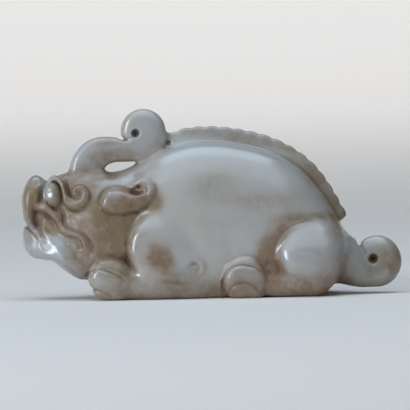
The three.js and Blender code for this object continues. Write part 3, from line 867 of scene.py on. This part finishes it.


# Where the brown skin of the pebble was left, and where shade is painted on with it: middle and half sizes
# in the side view, lean, strength
skinAndShade = {
    "face": (-50, 26, 10, 11, 0, 0.55), "muzzle": (-53, 26, 4, 6, 0, 0.15),
    "trough": (-52.2, 31.5, 2.2, 5, 0, 0.15),
    "nose": (-54.4, 29, 3, 9, 0, 0.95), "brow": (-44, 31, 9, 7, 0, 0.6), "jaw": (-39, 11, 5, 6, 0, 0.1),
    "underBrow": (-44.5, 26, 3.6, 3.6, 0, 0.7), "temple": (-38, 25, 7, 4, 0, 0.35),
    "gumEdge": (-51.6, 23.2, 2.2, 2.8, 0, 0.75),
    # a strength below 0 clears the skin again; the eye, the jaw and the fore paw were polished clean there
    "eyeGloss": (-49.6, 32, 1.6, 2.4, 0, -1.4), "jawGloss": (-49.6, 16.4, 4.6, 4.2, 0, -1.1),
    "pawClean": (-32, 7, 5, 5, 0, -0.3),
    # the mouth and the trough are cleared so that they are paler against the shade that falls in them, which
    # is painted light
    "mouthPaintedLight": (-53.6, 24.6, 1.8, 3.2, 0, -6), "troughPaintedLight": (-51.7, 32.6, 1.3, 3.8, 0, -2.4),
    # the forehead under the horn is darkened with painted shade, the horn's shadow over it
    "forehead": (-36, 37, 12, 4, 8, 0.6), "neckTop": (-21, 34, 6, 8, 0, 0.35),
    # in the groove behind the head the brown skin is darkened further with painted shade
    "cheek": (-35, 19, 12, 14, 0, 0.76), "nape": (-28, 16, 5, 11, 0, 0.65),
    "ear": (-25, 28.6, 7.6, 4.2, 8, 0.95), "earTop": (-28, 32.6, 6, 1.6, 0, 0.3),
    "earTip": (-18, 29.6, 3, 2.6, 0, 0.85), "hornFoot": (-33, 42, 8, 4, 10, 0.25),
    "hornTop": (-32, 48.4, 9, 1.6, 3, 0.3),
    "hornEnd": (-16, 46, 4, 5, 0, 0.25), "hornLow": (-28, 43.5, 8, 2, 0, 0.45),
    "hornBar": (-29, 45.5, 9, 4, 0, 0.25),
    "crest": (8, 50, 26, 3.4, -4, 0.4), "crestFoot": (16, 46.6, 14, 1.2, -12, 0.35),
    "crestBack": (32, 39, 5, 16, 38, 0.6),
    "crestEnd": (39.5, 25, 4, 6, 0, 0.6),
    "flank": (-1, 34.5, 7, 4, 12, 0.3), "flankBand": (12, 30, 18, 3, 0, 0.25),
    "shoulder": (-15.8, 12.8, 4.6, 3.8, -40, 0.95),
    "elbow": (-10, 6, 9, 3, -8, 0.45), "elbowCurl": (-4.6, 10, 3.4, 3, 0, 0.35),
    "pawBack": (-26, 7, 3.6, 5, 0, 0.4),
    # the hollow between the hind paw and the haunch holds brown skin, darkened further with painted shade
    "hollow": (18.2, 9.6, 3.8, 6, 14, 0.97), "hollowDeep": (17.8, 8.4, 2.6, 5.4, 12, 0.95),
    "haunchRim": (19, 18, 10, 3.4, 52, 0.6), "haunchTop": (31, 24, 9, 1.6, 0, 0.45),
    # the low part of the haunch gets a warm tint that also paints shade there
    "haunchLow": (31, 4, 10, 4, 0, 0.5), "tailRoot": (39.4, 8, 2.4, 5, 0, 0.6),
    "tailBar": (46, 6, 6, 5, 0, 0.2),
    "tailRim": (55.6, 9, 4.4, 8, 0, 0.58), "tailHole": (51, 9.6, 4.8, 4.6, 0, 0.42),
    "hindPaw": (9, 5, 7, 8, 0, 0.4),
    "rump": (36, 14, 10, 12, 0, 0.25), "flankBack": (16, 24, 10, 8, 0, 0.15),
    # the strip along the bottom is a warm tint that also paints the stone darker towards the bottom, as
    # shade
    "belly": (0, 1, 60, 4.6, 0, 0.65),
}


def markSkinAndShade(points):
    edge = 1.3  # over 1 is a firmer edge to each place
    x, z = points[:, 0], points[:, 2]
    clear = np.ones(len(points))
    for ax, az, rx, rz, lean, strength in skinAndShade.values():
        c, s = np.cos(np.radians(lean)), np.sin(np.radians(lean))
        a, b = ((x - ax) * c + (z - az) * s) / rx, ((z - az) * c - (x - ax) * s) / rz
        clear *= 1 - strength * np.exp(-(a * a + b * b) ** edge)
    return 1 - clear


def addNumbers(data, name, values):
    data.attributes.new(name, "FLOAT", "POINT").data.foreach_set("value", values.astype(np.float32))


buildStone()
print("stone carved")
figure = makeFigure()
data = figure.data
points = np.empty(len(data.vertices) * 3)
data.vertices.foreach_get("co", points)
points = points.reshape(-1, 3)
# the skin and the painted shade of the table above; then how hollow the surface is, which the material uses
# to thicken the skin in the hollows and to paint shade into the hollows and creases
addNumbers(data, "russetAndShade", markSkinAndShade(points))
addNumbers(data, "hollow", hollowness(points, pool=4, rounds=3))
addNumbers(data, "crease", hollowness(points, pool=1, rounds=5))

# The carving is brought from its drawn size to the frame's own box
low, high = points.min(axis=0), points.max(axis=0)
fit = (np.array(figureHigh) - np.array(figureLow)) / (high - low)
print("scale to the frame", fit * 1000)
data.vertices.foreach_set("co", ((points - low) * fit + np.array(figureLow)).ravel())
data.shade_smooth()
data.update()
print("figure made:", len(data.polygons), "triangles")


# Jade
jade = {
    "pale": (0.425, 0.395, 0.36), "cloud": (0.37, 0.325, 0.27), "cool": (0.39, 0.385, 0.38),
    "olive": (0.2, 0.137, 0.07), "rose": (0.222, 0.139, 0.083), "deepRussetAndShade": (0.08, 0.044, 0.022),
    "roughness": 0.27, "polish": 0.4, "skinPolish": 0.05, "polishRoughness": 0.06, "ior": 1.6,
    "translucency": 0.3, "depth": 0.002, "scatter": (1, 0.92, 0.8),
    # patterns: a larger scale is finer
    "cloudNoise": {"scale": 45, "detail": 3, "warp": 0.6},
    "veinNoise": {"scale": 90, "detail": 3, "rough": 0.5, "warp": 0.5},
    "mottleNoise": {"scale": 700, "detail": 3, "rough": 0.6},
    "blotchNoise": {"scale": 230, "detail": 4, "rough": 0.6, "warp": 0.4},
    "tintNoise": {"scale": 80, "detail": 2},
    "pitNoise": {"scale": 620, "detail": 3, "rough": 0.6},
    "waveNoise": {"scale": 90, "detail": 2},
    # from where to where each counts, and as what if that isn't 0 to 1
    "cloudEdge": (0.36, 0.64), "veinEdge": (0.48, 0.7), "veinShare": 0.5, "grain": 0.7,
    "blotchEdge": (0.3, 0.7, 0.76, 1.24), "hollowEdge": (-0.5, 1.0, 0.85, 1.25),
    "creaseEdge": (0.006, 0.09, 0, 0.3), "tintEdge": (0.4, 0.6), "skinAndShadeEdge": (0.0, 0.85),
    "deepEdge": (0.85, 1.4), "hollowDull": (0.1, 0.7, 0, 0.2), "skinDull": (0.4, 1.1, 0, 0.25),
    "polishEdge": (0.3, 0.9), "pitEdge": (0.5, 1.2, 0, 8), "waveDepth": 2,
    "bumpStrength": 0.2, "bumpDistance": 0.00006,
}


def jadeMaterial():
    material = bpy.data.materials.new("jade")
    material.use_nodes = True
    nodes, links = material.node_tree.nodes, material.node_tree.links
    nodes.clear()

    def node(kind, **values):
        n = nodes.new("ShaderNode" + kind)
        for name, value in values.items():
            setattr(n, name, value)
        return n

    def setInputs(n, values):
        for name, value in values.items():
            n.inputs[name].default_value = value

    def feed(target, source):
        if hasattr(source, "is_output"):
            links.new(source, target)
        else:
            target.default_value = source

    def noise(scale, detail, rough=0.55, warp=0.0):
        n = node("TexNoise")
        feed(n.inputs["Vector"], place)
        setInputs(n, {"Scale": scale, "Detail": detail, "Roughness": rough, "Distortion": warp})
        return n.outputs["Fac"]

    def ramp(source, start, end, low=0.0, high=1.0):
        n = node("MapRange", interpolation_type="SMOOTHSTEP")
        feed(n.inputs["Value"], source)
        setInputs(n, {"From Min": start, "From Max": end, "To Min": low, "To Max": high})
        return n.outputs["Result"]

    def maths(operation, a, b):
        n = node("Math", operation=operation)
        feed(n.inputs[0], a)
        feed(n.inputs[1], b)
        return n.outputs[0]

    def mix(share, a, b):
        n = node("Mix", data_type="RGBA")
        feed(n.inputs["Factor"], share)
        feed(n.inputs[6], a if hasattr(a, "is_output") else (*a, 1))
        feed(n.inputs[7], b if hasattr(b, "is_output") else (*b, 1))
        return n.outputs[2]

    def number(name):
        return node("Attribute", attribute_name=name).outputs["Fac"]

    place = node("TexCoord").outputs["Object"]
    clouds = ramp(noise(**jade["cloudNoise"]), *jade["cloudEdge"])
    veins = ramp(noise(**jade["veinNoise"]), *jade["veinEdge"])
    mottle = noise(**jade["mottleNoise"])
    stoneColour = mix(clouds, jade["pale"], jade["cool"])
    stoneColour = mix(maths("MULTIPLY", veins, jade["veinShare"]), stoneColour, jade["cloud"])

    # the skin is a little thinner on the ridges and thicker in the hollows, and the hollows and creases are
    # darkened further with painted shade, down to the deep colour
    russetAndShade = number("russetAndShade")
    blotches = ramp(noise(**jade["blotchNoise"]), *jade["blotchEdge"])
    grain = maths("MULTIPLY", maths("SUBTRACT", mottle, 0.5), jade["grain"])
    depth = ramp(number("hollow"), *jade["hollowEdge"])
    skinAndShadeShare = maths("MULTIPLY", maths("MULTIPLY", russetAndShade, maths("ADD", blotches, grain)), depth)
    skinAndShadeShare = maths("ADD", skinAndShadeShare, ramp(number("crease"), *jade["creaseEdge"]))
    russetLight = mix(ramp(noise(**jade["tintNoise"]), *jade["tintEdge"]), jade["olive"], jade["rose"])
    colour = mix(ramp(skinAndShadeShare, *jade["skinAndShadeEdge"]), stoneColour, russetLight)
    # the deep colour is deep russet in the holes and the mouth, and painted shade in the deepest hollows and
    # creases
    colour = mix(ramp(skinAndShadeShare, *jade["deepEdge"]), colour, jade["deepRussetAndShade"])

    shader = node("BsdfPrincipled")
    feed(shader.inputs["Base Color"], colour)
    # the polish doesn't reach the hollows, and it is duller on the skin
    dull = maths("ADD", ramp(number("hollow"), *jade["hollowDull"]), ramp(skinAndShadeShare, *jade["skinDull"]))
    feed(shader.inputs["Roughness"], maths("ADD", dull, jade["roughness"]))
    feed(shader.inputs["Coat Weight"], ramp(russetAndShade, *jade["polishEdge"], jade["polish"], jade["skinPolish"]))
    setInputs(shader, {"Coat Roughness": jade["polishRoughness"], "IOR": jade["ior"],
                       "Subsurface Weight": jade["translucency"], "Subsurface Radius": jade["scatter"],
                       "Subsurface Scale": jade["depth"]})
    bump = node("Bump")
    setInputs(bump, {"Strength": jade["bumpStrength"], "Distance": jade["bumpDistance"]})
    # fine pits in the skin, and the slight waves that hand polishing leaves
    pits = maths("MULTIPLY", noise(**jade["pitNoise"]), ramp(skinAndShadeShare, *jade["pitEdge"]))
    waves = maths("MULTIPLY", noise(**jade["waveNoise"]), jade["waveDepth"])
    feed(bump.inputs["Height"], maths("ADD", pits, waves))
    links.new(bump.outputs[0], shader.inputs["Normal"])
    links.new(shader.outputs[0], node("OutputMaterial").inputs[0])
    return material


data.materials.append(jadeMaterial())
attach(figure, "root")
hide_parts("qilin_figure")
print("jade finished")


# Studio: a pale sweep, two cool soft boxes overhead, a narrow window on the left, a weak fill that the
# polish doesn't mirror, and two lamps that turn away from the figure and light only the sweep
studio = {
    "sweep": (0.8, 0.735, 0.68), "front": -4, "bend": 2.3, "radius": 0.7, "top": 1.1, "halfWidth": 4,
    "sky": {"at": (-0.05, 0.02, 0.85), "aim": (-0.05, 0.02, 0), "size": (0.9, 0.5), "watts": 4.2,
            "colour": (0.65, 0.82, 1)},
    "skyFront": {"at": (-0.05, -0.515, 0.735), "aim": (-0.05, -0.23, 0.03), "size": (1.3, 0.61),
                 "watts": 3.2, "colour": (0.72, 0.865, 1)},
    "window": {"at": (-1, -0.85, 0.36), "size": (0.22, 0.72), "watts": 9, "colour": (0.8, 0.9, 1)},
    "flank": {"at": (-0.6, -1.5, 0.3), "size": (1.7, 1.1), "watts": 4, "colour": (0.88, 0.94, 1),
              "mirrored": False},
    "behind": {"at": (0, 1.2, 1.6), "aim": (0, 2.8, 0.4), "size": (3, 2), "watts": 23,
               "colour": (0.84, 0.92, 1)},
    "back": {"at": (0, 1.8, 1.7), "aim": (0, 4.07, 0), "size": (3, 1), "watts": 30,
             "colour": (0.84, 0.92, 1)},
    "aim": (0, 0, 0.025),  # where a lamp without an aim of its own is turned
    "air": (0.5, 0.5, 0.5), "airStrength": 0.14, "paperRoughness": 0.85,
}


def addLight(name):
    lamp = studio[name]
    data = bpy.data.lights.new(name, "AREA")
    data.shape = "RECTANGLE"
    data.size, data.size_y = lamp["size"]
    data.energy = lamp["watts"]
    data.color = lamp["colour"]
    light = bpy.data.objects.new(name, data)
    light.location = lamp["at"]
    away = Vector(lamp["at"]) - Vector(lamp.get("aim", studio["aim"]))
    light.rotation_euler = away.to_track_quat("Z", "Y").to_euler()
    light.visible_camera = False
    light.visible_glossy = lamp.get("mirrored", True)
    bpy.context.scene.collection.objects.link(light)


def addSweep():
    section = [(studio["front"], 0), (studio["bend"], 0)]
    steps = 24
    for i in range(1, steps + 1):
        a = radians(90) * i / steps
        section.append((studio["bend"] + studio["radius"] * sin(a), studio["radius"] * (1 - cos(a))))
    section.append((studio["bend"] + studio["radius"], studio["top"]))
    half = studio["halfWidth"]
    points = [(x, y, z) for y, z in section for x in (-half, half)]
    faces = [(2 * i, 2 * i + 1, 2 * i + 3, 2 * i + 2) for i in range(len(section) - 1)]
    data = bpy.data.meshes.new("sweep")
    data.from_pydata(points, [], faces)
    data.shade_smooth()
    material = bpy.data.materials.new("paper")
    material.use_nodes = True
    paper = material.node_tree.nodes["Principled BSDF"]
    paper.inputs["Base Color"].default_value = (*studio["sweep"], 1)
    paper.inputs["Roughness"].default_value = studio["paperRoughness"]
    data.materials.append(material)
    sweep = bpy.data.objects.new("sweep", data)
    bpy.context.scene.collection.objects.link(sweep)


def addAir():
    world = bpy.data.worlds.new("air")
    world.use_nodes = True
    background = world.node_tree.nodes["Background"]
    background.inputs[0].default_value = (*studio["air"], 1)
    background.inputs[1].default_value = studio["airStrength"]
    bpy.context.scene.world = world


bpy.context.scene.view_settings.view_transform = "Standard"
for name in ("sky", "skyFront", "window", "flank", "behind", "back"):
    addLight(name)
addSweep()
addAir()
print("studio lit")
